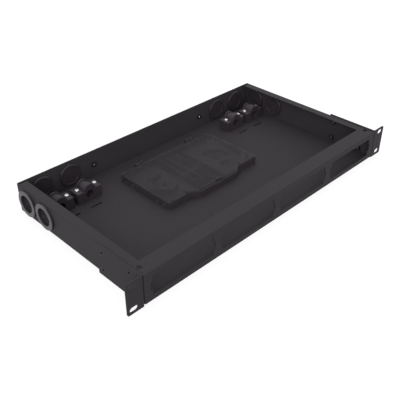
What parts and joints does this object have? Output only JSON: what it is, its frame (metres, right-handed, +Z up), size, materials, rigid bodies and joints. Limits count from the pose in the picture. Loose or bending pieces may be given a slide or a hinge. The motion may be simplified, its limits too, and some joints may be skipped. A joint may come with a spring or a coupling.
{
  "type": "fibre distribution panel",
  "caption": "Rack-mount fibre distribution panel with open top: stepped front windows, blanked cable entries, cable clamps and a splice tray under a hinged clear lid.",
  "frame": {"origin": "centre of the four rack slots on the rear face of the ears", "axes": "+X to the right seen from the front, +Y from the front panel to the rear wall, +Z up"},
  "size_m": [0.4826, 0.2468, 0.0436],
  "materials": {
    "black_powder_coat": "satin, fine grain",
    "black_screw": "blackened",
    "zinc_screw": "zinc plated",
    "bright_screw": "bright",
    "tray_plastic": "satin",
    "comb_plastic": "satin",
    "clear_plastic": "clear, glossy",
    "rivet_plastic": "clear, glossy",
    "grommet_plastic": "glossy",
    "clamp_plastic": "half gloss"
  },
  "bodies": {
    "panel": {"chassis_floor": "black_powder_coat", "chassis_front": "black_powder_coat", "chassis_front_flange": "black_powder_coat", "chassis_side_left": "black_powder_coat", "chassis_side_right": "black_powder_coat", "chassis_flange_left": "black_powder_coat", "chassis_flange_right": "black_powder_coat", "chassis_rear": "black_powder_coat", "rack_ear_left": "black_powder_coat", "rack_ear_right": "black_powder_coat", "ear_screws": "black_screw", "rear_screws": "black_screw", "clamp_floor_screws": "zinc_screw", "ear_clinch_nuts": "zinc_screw", "rear_clinch_nuts": "zinc_screw", "tray_floor": "tray_plastic", "tray_wall_front": "tray_plastic", "tray_wall_rear": "tray_plastic", "tray_wall_left": "tray_plastic", "tray_wall_right": "tray_plastic", "tray_guide_left": "tray_plastic", "tray_guide_right": "tray_plastic", "tray_corner_walls": "tray_plastic", "tray_posts": "tray_plastic", "tray_rear_tabs": "tray_plastic", "tray_screws": "zinc_screw", "lid_hinge_pins": "zinc_screw", "comb_rear_left": "comb_plastic", "comb_rear_right": "comb_plastic", "comb_front_left": "comb_plastic", "comb_front_right": "comb_plastic", "grommet_left_front": "grommet_plastic", "grommet_left_rear": "grommet_plastic", "grommet_right_front": "grommet_plastic", "grommet_right_rear": "grommet_plastic", "grommet_rear_a": "grommet_plastic", "grommet_rear_b": "grommet_plastic", "grommet_rear_c": "grommet_plastic", "grommet_rear_d": "grommet_plastic", "clamp_base_a": "clamp_plastic", "clamp_base_b": "clamp_plastic", "clamp_base_c": "clamp_plastic", "clamp_base_d": "clamp_plastic"},
    "lid": {"tray_lid": "clear_plastic", "lid_rivets": "rivet_plastic"},
    "clamp_top_a": {"clamp_saddle_a": "clamp_plastic", "clamp_screws_a": "bright_screw"},
    "clamp_top_b": {"clamp_saddle_b": "clamp_plastic", "clamp_screws_b": "bright_screw"},
    "clamp_top_c": {"clamp_saddle_c": "clamp_plastic", "clamp_screws_c": "bright_screw"},
    "clamp_top_d": {"clamp_saddle_d": "clamp_plastic", "clamp_screws_d": "bright_screw"}
  },
  "joints": [
    {"name": "lid_hinge", "type": "hinge", "parent": "panel", "child": "lid", "pos_m": [0, 0.2084, -0.00875], "axis": [-1, 0, 0], "range_deg": [0, 135]},
    {"name": "clamp_lift_a", "type": "slide", "parent": "panel", "child": "clamp_top_a", "axis": [0, 0, 1], "range_m": [0, 0.04]},
    {"name": "clamp_lift_b", "type": "slide", "parent": "panel", "child": "clamp_top_b", "axis": [0, 0, 1], "range_m": [0, 0.04]},
    {"name": "clamp_lift_c", "type": "slide", "parent": "panel", "child": "clamp_top_c", "axis": [0, 0, 1], "range_m": [0, 0.04]},
    {"name": "clamp_lift_d", "type": "slide", "parent": "panel", "child": "clamp_top_d", "axis": [0, 0, 1], "range_m": [0, 0.04]}
  ]
}
